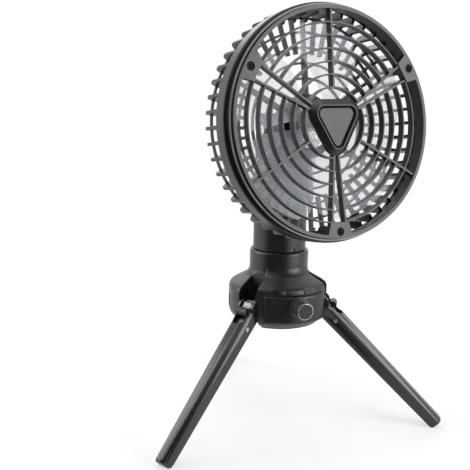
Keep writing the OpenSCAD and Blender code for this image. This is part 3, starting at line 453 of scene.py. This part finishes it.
def spoke_point(radius_mm: float, angle: float) -> Vector:
    """Places a point on a spoke of the head.

    Args:
        radius_mm: Distance from the head's axis.
        angle: Degrees round from the head's X towards its Y.

    Returns:
        The point in millimetres, on the plane of the lip.
    """
    turn = math.radians(angle)
    return Vector((radius_mm * math.cos(turn), radius_mm * math.sin(turn), 0.0))


@dataclass(frozen=True)
class Zone:
    """Faces round the head's axis, or round points beside it, that have a finish of their own.

    Depths count from the grille's lip, and are negative behind it. A face has to look along the spoke by more
    than outward, which is a cosine, so -2 lets in every face.
    """

    finish: Finish
    radii_mm: tuple[float, float]
    depths_mm: tuple[float, float]
    outward: float = 0.8
    spots: tuple[Vector, ...] = (Vector((0.0, 0.0, 0.0)),)

    def holds(self, face: bmesh.types.BMFace) -> bool:
        """Tells whether a face lies in the zone.

        Args:
            face: The face to place.

        Returns:
            True for a face inside the radii and depths that looks outward enough.
        """
        place = TO_HEAD @ face.calc_center_median() / MM
        spoke = min(((place - spot).to_2d() for spot in self.spots), key=lambda way: way.length).to_3d()
        near, far = self.radii_mm
        back, front = self.depths_mm
        looks = (TO_HEAD.to_3x3() @ face.normal).dot(spoke.normalized())
        return near < spoke.length < far and back < place.z < front and looks > self.outward


def dress(piece: bpy.types.Object, finish: Finish) -> bpy.types.Object:
    """Gives a new piece its one finish.

    Args:
        piece: The object to dress.
        finish: Its finish.

    Returns:
        The same object.
    """
    piece.data.materials.clear()
    piece.data.materials.append(FINISHES.get(finish))
    return piece


def body_with(node: str) -> str:
    """Finds the body that carries a node.

    Args:
        node: The node's name.

    Returns:
        The body's name.
    """
    groups = FRAME["record"]["behaviour"]["bodies"]
    return next(body for body, members in groups.items() if node in members)


def bent_edges(bm: bmesh.types.BMesh, angle: float, shortest: float = 0.0) -> list[bmesh.types.BMEdge]:
    """Finds the edges where a shape bends.

    Args:
        bm: The bmesh to look at.
        angle: The bend that an edge has to pass, in degrees.
        shortest: The least length of the edges, in metres. At 0 the edges without length count too.

    Returns:
        The edges that bend and are long enough.
    """
    bent = [e for e in bm.edges if e.is_manifold and e.calc_face_angle(0.0) > math.radians(angle)]
    return [e for e in bent if e.calc_length() >= shortest]


def bevel_edges(
    bm: bmesh.types.BMesh, edges: list[bmesh.types.BMEdge], width_mm: float, segments: int
) -> None:
    """Rounds edges over.

    Args:
        bm: The bmesh to work on.
        edges: The edges to round.
        width_mm: Width of the rounding, in millimetres.
        segments: Number of faces across it.
    """
    bmesh.ops.bevel(
        bm,
        geom=edges,
        offset=width_mm * MM,
        offset_type="OFFSET",
        affect="EDGES",
        segments=segments,
        profile=0.5,
        material=-1,
        clamp_overlap=False,
        loop_slide=False,
    )


def eased(
    node: str,
    finish: Finish,
    edge_mm: float = 0.3,
    angle: float = 35.0,
    zones: tuple[Zone, ...] = (),
    long_edge_mm: float = 0.0,
) -> bpy.types.Object:
    """Makes a copy of a node with eased edges, which stands for it.

    Args:
        node: The node's name.
        finish: The copy's finish.
        edge_mm: Width of the eased edges, in millimetres.
        angle: Edges sharper than this many degrees are eased.
        zones: Zones of the copy that have a finish of their own.
        long_edge_mm: Wider rounding for long edges, whose faces then look crowned, or 0 for none.

    Returns:
        The new piece.
    """
    mesh = FRAME["nodes"][node].data.copy()
    mesh.name = f"{node}_eased"
    bm = bmesh.new()
    bm.from_mesh(mesh)
    bmesh.ops.remove_doubles(bm, verts=bm.verts, dist=WELD)
    bmesh.ops.join_triangles(
        bm,
        faces=bm.faces,
        angle_face_threshold=math.radians(FLAT_BEND),
        angle_shape_threshold=math.radians(SKEW_LIMIT),
    )
    if long_edge_mm:
        bevel_edges(bm, bent_edges(bm, LONG_EDGE_BEND, LONG_EDGE), long_edge_mm, LONG_EDGE_FACES)
    bevel_edges(bm, bent_edges(bm, angle), edge_mm, EDGE_FACES)
    bm.normal_update()
    for face in bm.faces:
        slots = (slot for slot, zone in enumerate(zones, start=1) if zone.holds(face))
        face.material_index = next(slots, 0)
    mesh.materials.clear()
    for look in (finish, *(zone.finish for zone in zones)):
        mesh.materials.append(FINISHES.get(look))
    bm.to_mesh(mesh)
    bm.free()
    for attribute in ("custom_normal", "sharp_face", "sharp_edge"):
        if attribute in mesh.attributes:
            mesh.attributes.remove(mesh.attributes[attribute])
    piece = smooth_object(f"{node}_body", mesh)
    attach(piece, body_with(node))
    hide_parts(node)
    log.info("eased %s, in %s", node, finish.name)
    if not long_edge_mm:
        weights = piece.modifiers.new("weighted_normals", "WEIGHTED_NORMAL")
        weights.keep_sharp = True
    return piece


def smooth_object(name: str, mesh: bpy.types.Mesh) -> bpy.types.Object:
    """Puts a mesh in the scene, shaded smooth between its bends.

    Args:
        name: The object's name.
        mesh: Its mesh.

    Returns:
        The new object.
    """
    mesh.shade_smooth()
    mesh.set_sharp_from_angle(angle=math.radians(SMOOTH_BEND))
    piece = bpy.data.objects.new(name, mesh)
    bpy.context.scene.collection.objects.link(piece)
    return piece


def new_piece(name: str, bm: bmesh.types.BMesh, body: str, finish: Finish) -> bpy.types.Object:
    """Turns a bmesh into a piece that rides on a body.

    Args:
        name: The piece's name.
        bm: The bmesh, which is freed.
        body: The body that carries the piece.
        finish: The piece's finish.

    Returns:
        The new piece.
    """
    mesh = bpy.data.meshes.new(name)
    bmesh.ops.recalc_face_normals(bm, faces=bm.faces)
    bm.to_mesh(mesh)
    bm.free()
    piece = smooth_object(name, mesh)
    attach(piece, body)
    log.info("made %s, in %s", name, finish.name)
    return dress(piece, finish)


def kept(node: str, finish: Finish) -> None:
    """Keeps a CAD node and gives it its finish.

    Args:
        node: The node's name.
        finish: Its finish.
    """
    piece = FRAME["nodes"][node]
    for slot in range(len(piece.data.materials)):
        piece.data.materials[slot] = FINISHES.get(finish)
    if not piece.data.materials:
        piece.data.materials.append(FINISHES.get(finish))
    log.info("kept %s, in %s", node, finish.name)


@dataclass
class SubAssembly:
    """A group of nodes that are dressed together, with the finishes of those that keep their shape."""

    name: str = "sub_assembly"
    plain: tuple[tuple[str, Finish], ...] = ()

    def make(self) -> None:
        """Dresses the nodes that keep their shape, and reports the group."""
        for node, finish in self.plain:
            kept(node, finish)
        log.info("%s is complete", self.name)


@dataclass
class Head(SubAssembly):
    """The caged head: bezel and ribs, grille, rotor and motor."""

    name: str = "head"
    plain: tuple[tuple[str, Finish], ...] = (
        ("grille_screws", SCREW_BLACK),
        ("housing_screws", BLACK_STEEL),
        ("motor_can", STEEL),
        ("motor_cap", BLACK),
        ("motor_magnets", BLACK_STEEL),
        ("motor_bushes", BRONZE),
        ("motor_shaft", STEEL),
        ("motor_rotor", COPPER),
        ("blade_nut", STEEL),
    )
    cage_edge_mm: float = 0.25
    grille_edge_mm: float = 0.22
    badge_edge_mm: float = 0.15
    housing_edge_mm: float = 0.3
    blade_edge_mm: float = 0.1
    blade_bend: float = 60.0
    groove_corners_mm: tuple[float, float] = (5.95, 4.3)
    groove_depths_mm: tuple[float, float] = (1.1, 2.53)
    # Painted highlight on the ledge of the grille's rim, and painted shade in the rim's two grooves and in the
    # tab screw seats.
    painted_shade_and_highlight_zones: tuple[Zone, ...] = (
        Zone(PAINTED_HIGHLIGHT, (88.5, 90.0), (-3.7, -3.05), 0.1),
        Zone(PAINTED_SHADE, (87.9, 88.75), (-3.25, -0.2)),
        Zone(PAINTED_SHADE, (89.5, 90.3), (-8.4, -3.5)),
        Zone(
            PAINTED_SHADE, (0.0, 3.4), (-2.4, -0.05), -2.0, tuple(spoke_point(TAB_SCREW_R_MM, a) for a in TAB_ANGLES)
        ),
    )

    def make(self) -> None:
        """Builds the head's pieces."""
        eased("rear_cage", SHELL, self.cage_edge_mm)
        eased("front_grille", GRILLE, self.grille_edge_mm, zones=self.painted_shade_and_highlight_zones)
        eased("grille_badge", BADGE, self.badge_edge_mm)
        eased("motor_housing", SHELL, self.housing_edge_mm)
        eased("fan_blade", SMOKE, self.blade_edge_mm, self.blade_bend)
        self.make_badge_shade_ring()
        super().make()

    def make_badge_shade_ring(self) -> None:
        """Lays a black ring round the badge plate, painted shade that reads as a groove inside the boss's rim."""
        back, front = self.groove_depths_mm
        bm = bmesh.new()
        rims = []
        for corner in self.groove_corners_mm:
            points = [p + Vector((0.0, 0.0, back)) for p in self.rounded_triangle(corner)]
            rim = [bm.verts.new(p * MM) for p in points]
            rims += [bm.edges.new(ends) for ends in zip(rim, rim[1:] + rim[:1])]
        ring = bmesh.ops.bridge_loops(bm, edges=rims)["faces"]
        raised = bmesh.ops.extrude_face_region(bm, geom=ring, use_keep_orig=True)
        moved = [v for v in raised["geom"] if isinstance(v, bmesh.types.BMVert)]
        bmesh.ops.translate(bm, verts=moved, vec=(0.0, 0.0, (front - back) * MM))
        bmesh.ops.transform(bm, matrix=HEAD_FRAME, verts=bm.verts)
        new_piece("badge_shade_ring", bm, "head", PAINTED_SHADE)

    @staticmethod
    def rounded_triangle(corner_mm: float, steps: int = 10) -> list[Vector]:
        """Draws the outline of the boss.

        Args:
            corner_mm: Radius of the outline's corners.
            steps: Number of parts in each corner.

        Returns:
            The outline's points in millimetres, on the plane of the lip.
        """
        sweep = 360.0 / len(TAB_ANGLES)
        return [
            spoke_point(BOSS_REACH_MM, angle) + spoke_point(corner_mm, angle - sweep / 2 + sweep * k / steps)
            for angle in TAB_ANGLES
            for k in range(steps + 1)
        ]


@dataclass
class Neck(SubAssembly):
    """The turning neck with its yoke, battery and tilt axle."""

    name: str = "neck"
    plain: tuple[tuple[str, Finish], ...] = (
        ("neck_retainer", BLACK),
        ("retainer_screws", STEEL),
        ("neck_screw", BLACK_STEEL),
        ("battery_cells", WRAP),
        ("battery_holder", BLACK),
        ("tilt_pin", STEEL),
        ("tilt_washers", STEEL),
    )
    edge_mm: float = 0.3

    def make(self) -> None:
        """Builds the neck's pieces."""
        eased("neck_tube", SHELL, self.edge_mm)
        eased("neck_yoke", SHELL, self.edge_mm)
        super().make()


@dataclass
class Hub(SubAssembly):
    """The round hub with its panel, knob, port and leg brackets."""

    name: str = "hub"
    plain: tuple[tuple[str, Finish], ...] = (
        ("panel_lenses", LENS),
        ("usb_socket", STEEL),
        ("charge_board", BOARD),
        ("control_board", BOARD),
        ("speed_control", BLACK),
        ("dial_shaft", STEEL),
        ("base_screws", BLACK_STEEL),
        ("bracket_screws", STEEL),
    )
    shell_edge_mm: float = 0.6
    base_edge_mm: float = 0.3
    panel_edge_mm: float = 1.0
    knob_edge_mm: float = 0.15
    ring_edge_mm: float = 0.12
    bracket_edge_mm: float = 0.25
    face_r_mm: float = 6.35
    face_front_mm: float = 0.03
    face_deep_mm: float = 0.6
    face_sides: int = 48

    def make(self) -> None:
        """Builds the hub's pieces."""
        eased("hub_shell", SHELL, self.shell_edge_mm)
        eased("hub_base", SHELL, self.base_edge_mm)
        eased("control_panel", PANEL, self.panel_edge_mm)
        eased("control_knob", KNOB, self.knob_edge_mm)
        eased("knob_ring", CHROME, self.ring_edge_mm)
        self.make_knob_face()
        for number in LEG_NUMBERS:
            eased(f"leg_bracket_{number}", ZINC, self.bracket_edge_mm)
            kept(f"hinge_pin_{number}", STEEL)
        super().make()

    def make_knob_face(self) -> None:
        """Makes the knob's flat face, which leaves a narrow line of the trim ring to see."""
        bm = bmesh.new()
        made = bmesh.ops.create_circle(
            bm, cap_ends=True, radius=self.face_r_mm * MM, segments=self.face_sides
        )
        bmesh.ops.translate(bm, verts=made["verts"], vec=(0.0, 0.0, self.face_front_mm * MM))
        raised = bmesh.ops.extrude_face_region(bm, geom=bm.faces[:], use_keep_orig=True)
        back = [v for v in raised["geom"] if isinstance(v, bmesh.types.BMVert)]
        bmesh.ops.translate(bm, verts=back, vec=(0.0, 0.0, -self.face_deep_mm * MM))
        upright = Matrix.Rotation(math.radians(90.0), 4, "X")
        bmesh.ops.transform(bm, matrix=Matrix.Translation(KNOB_FRONT) @ upright, verts=bm.verts)
        piece = new_piece("knob_leather", bm, body_with("knob_face"), KNURL)
        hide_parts("knob_face")


@dataclass
class Legs(SubAssembly):
    """The three folding legs."""

    name: str = "legs"
    edge_mm: float = 0.3
    bend: float = 50.0
    long_edge_mm: float = 2.0

    def make(self) -> None:
        """Builds the legs' pieces."""
        for number in LEG_NUMBERS:
            eased(f"leg_{number}", LEG, self.edge_mm, self.bend, long_edge_mm=self.long_edge_mm)
            kept(f"leg_rivet_{number}", STEEL)
            kept(f"leg_roller_{number}", BLACK)
            kept(f"leg_plunger_{number}", BLACK_STEEL)
        super().make()


@dataclass(frozen=True)
class Lamp:
    """A soft rectangular light.

    The azimuth goes round from the fan's front towards +X and the elevation up from the horizon, in degrees.
    The distance and the size, which is a width and a height, are in metres, and the power is in watts.
    """

    name: str
    azimuth: float
    elevation: float
    distance: float
    size: tuple[float, float]
    power: float

    def hang(self, aim: Vector) -> None:
        """Hangs the light.

        Args:
            aim: The point that it shines on.
        """
        data = bpy.data.lights.new(self.name, "AREA")
        data.shape = "RECTANGLE"
        data.size, data.size_y = self.size
        data.energy = self.power
        lamp = bpy.data.objects.new(self.name, data)
        turn, rise = math.radians(self.azimuth), math.radians(self.elevation)
        way = Vector((math.sin(turn) * math.cos(rise), -math.cos(turn) * math.cos(rise), math.sin(rise)))
        lamp.location = aim + way * self.distance
        lamp.rotation_euler = way.to_track_quat("Z", "Y").to_euler()
        bpy.context.scene.collection.objects.link(lamp)


@dataclass
class Studio(SubAssembly):
    """The pale floor, the soft lights and the camera."""

    name: str = "studio"
    aim: tuple[float, float, float] = (0.0, -0.02, 0.17)
    lamps: tuple[Lamp, ...] = (
        Lamp("key_right", 42.0, 14.0, 1.3, (0.8, 1.0), 13.5),
        Lamp("fill_left", -112.0, 24.0, 1.3, (0.8, 1.2), 11.5),
        Lamp("back_soft", 160.0, 38.0, 1.5, (1.4, 0.9), 8.0),
        Lamp("top_soft", 10.0, 82.0, 1.3, (1.2, 0.9), 6.0),
    )
    eye: tuple[float, float, float] = (-0.2723, -0.6566, 0.3083)
    heading: float = 20.15
    pitch: float = -12.08
    roll: float = 1.13
    focal_px: float = 811.9
    frame_px: float = 470.0
    sensor_mm: float = 36.0
    near_clip: float = 0.01
    floor_half: float = 6.0
    floor_parts: int = 4
    floor_drop: float = 0.0002
    floor_roughness: float = 0.9
    floor_cells: float = 6.0
    floor_greys: tuple[float, float] = (0.86, 0.88)
    cloth_cells: float = 90.0
    cloth_greys: tuple[float, float] = (0.004, 0.008)
    surround: float = 0.4
    glow_from: float = 0.2
    glow_full: float = 0.8
    glow_least: float = 0.6
    flag_span: tuple[float, float] = (-82.0, 14.0)
    flag_outline: tuple[tuple[float, float], ...] = ((0.26, 0.001), (1.6, 0.001), (1.9, 0.3), (1.9, 1.5))
    flag_steps: int = 24

    def make(self) -> None:
        """Builds the floor, lights and camera."""
        self.make_camera()
        self.make_floor()
        self.make_flag()
        self.make_world()
        for lamp in self.lamps:
            lamp.hang(Vector(self.aim))
        bpy.context.scene.view_settings.view_transform = "Standard"
        super().make()

    def make_camera(self) -> None:
        """Stands the camera at the viewing angle."""
        data = bpy.data.cameras.new("view_camera")
        data.sensor_width = self.sensor_mm
        data.lens = self.focal_px / self.frame_px * self.sensor_mm
        data.clip_start = self.near_clip
        camera = bpy.data.objects.new("view_camera", data)
        heading, pitch, roll = (math.radians(turn) for turn in (self.heading, self.pitch, self.roll))
        forward = Vector(
            (math.sin(heading) * math.cos(pitch), math.cos(heading) * math.cos(pitch), math.sin(pitch))
        )
        right = Vector((math.cos(heading), -math.sin(heading), 0.0))
        up = right.cross(forward)
        turned_right = right * math.cos(roll) + up * math.sin(roll)
        turned_up = turned_right.cross(forward)
        turn = Matrix((turned_right, turned_up, -forward)).transposed()
        camera.matrix_world = Matrix.Translation(self.eye) @ turn.to_4x4()
        bpy.context.scene.collection.objects.link(camera)
        bpy.context.scene.camera = camera

    def make_floor(self) -> None:
        """Lays the pale floor, which turns plain white away from the fan."""
        bm = bmesh.new()
        bmesh.ops.create_grid(
            bm, x_segments=self.floor_parts, y_segments=self.floor_parts, size=self.floor_half
        )
        bmesh.ops.translate(bm, verts=bm.verts, vec=(0.0, 0.0, -self.floor_drop))
        floor = self.stage_piece("floor", bm)
        sheet = NodeSheet("floor_paint")
        shader = sheet.shader
        shader.inputs["Roughness"].default_value = self.floor_roughness
        shader.inputs["Specular IOR Level"].default_value = 0.0
        sheet.link(sheet.greys(self.floor_cells, self.floor_greys), shader.inputs["Base Color"])
        glow = sheet.nodes.new("ShaderNodeEmission")
        reach = sheet.nodes.new("ShaderNodeVectorMath")
        reach.operation = "LENGTH"
        sheet.link(sheet.place, reach.inputs[0])
        away = sheet.spread(reach.outputs["Value"], self.glow_from, self.glow_full, self.glow_least, 1.0)
        mix = sheet.nodes.new("ShaderNodeMixShader")
        sheet.link(sheet.math("MULTIPLY", away, self.seen(sheet.material.node_tree)), mix.inputs[0])
        sheet.link(shader.outputs[0], mix.inputs[1])
        sheet.link(glow.outputs[0], mix.inputs[2])
        sheet.link(mix.outputs[0], sheet.nodes["Material Output"].inputs["Surface"])
        floor.data.materials.append(sheet.material)

    def make_flag(self) -> None:
        """Stands a black card round the camera's side, which only reflections meet."""
        bm = bmesh.new()
        start, end = self.flag_span
        low = [bm.verts.new(Vector((0.0, -r, z))) for r, z in self.flag_outline]
        rail = [bm.edges.new(pair) for pair in zip(low, low[1:])]
        bmesh.ops.transform(bm, matrix=Matrix.Rotation(math.radians(start), 4, "Z"), verts=bm.verts)
        bmesh.ops.spin(
            bm,
            geom=low + rail,
            cent=(0.0, 0.0, 0.0),
            axis=(0.0, 0.0, 1.0),
            dvec=(0.0, 0.0, 0.0),
            angle=math.radians(end - start),
            steps=self.flag_steps,
            use_merge=False,
            use_duplicate=False,
        )
        flag = self.stage_piece("black_flag", bm)
        flag.visible_camera = False
        flag.visible_diffuse = False
        flag.visible_shadow = False
        flag.visible_transmission = False
        sheet = NodeSheet("black_cloth")
        sheet.shader.inputs["Roughness"].default_value = 1.0
        sheet.shader.inputs["Specular IOR Level"].default_value = 0.0
        sheet.link(sheet.greys(self.cloth_cells, self.cloth_greys), sheet.shader.inputs["Base Color"])
        flag.data.materials.append(sheet.material)

    @staticmethod
    def stage_piece(name: str, bm: bmesh.types.BMesh) -> bpy.types.Object:
        """Turns a bmesh into an object of the studio.

        Args:
            name: The object's name.
            bm: The bmesh, which is freed.

        Returns:
            The new object.
        """
        mesh = bpy.data.meshes.new(name)
        bm.to_mesh(mesh)
        bm.free()
        piece = bpy.data.objects.new(name, mesh)
        bpy.context.scene.collection.objects.link(piece)
        return piece

    @staticmethod
    def seen(tree: bpy.types.NodeTree) -> Socket:
        """Tells the rays that see the background from those that light it.

        Args:
            tree: The node tree to draw on.

        Returns:
            A socket that is 1 for camera, glossy and transmission rays.
        """
        path = tree.nodes.new("ShaderNodeLightPath")
        last = path.outputs["Is Camera Ray"]
        for other in ("Is Glossy Ray", "Is Transmission Ray"):
            both = tree.nodes.new("ShaderNodeMath")
            both.operation = "MAXIMUM"
            tree.links.new(last, both.inputs[0])
            tree.links.new(path.outputs[other], both.inputs[1])
            last = both.outputs[0]
        return last

    def make_world(self) -> None:
        """Makes the surroundings: white where it is seen, and a plain dim light elsewhere."""
        world = bpy.data.worlds.new("studio_world")
        world.use_nodes = True
        tree = world.node_tree
        bpy.context.scene.world = world
        background = tree.nodes["Background"]
        background.inputs["Color"].default_value = WHITE
        strength = tree.nodes.new("ShaderNodeMapRange")
        strength.inputs["To Min"].default_value = self.surround
        strength.inputs["To Max"].default_value = 1.0
        tree.links.new(self.seen(tree), strength.inputs["Value"])
        tree.links.new(strength.outputs["Result"], background.inputs["Strength"])


def write_sizes() -> None:
    bpy.context.view_layer.update()


def main() -> None:
    """Builds the studio and the fan, and reports each group."""
    logging.basicConfig(level=logging.INFO)
    for group in (Studio(), Head(), Neck(), Hub(), Legs()):
        group.make()
    write_sizes()


if __name__ == "__main__":
    main()
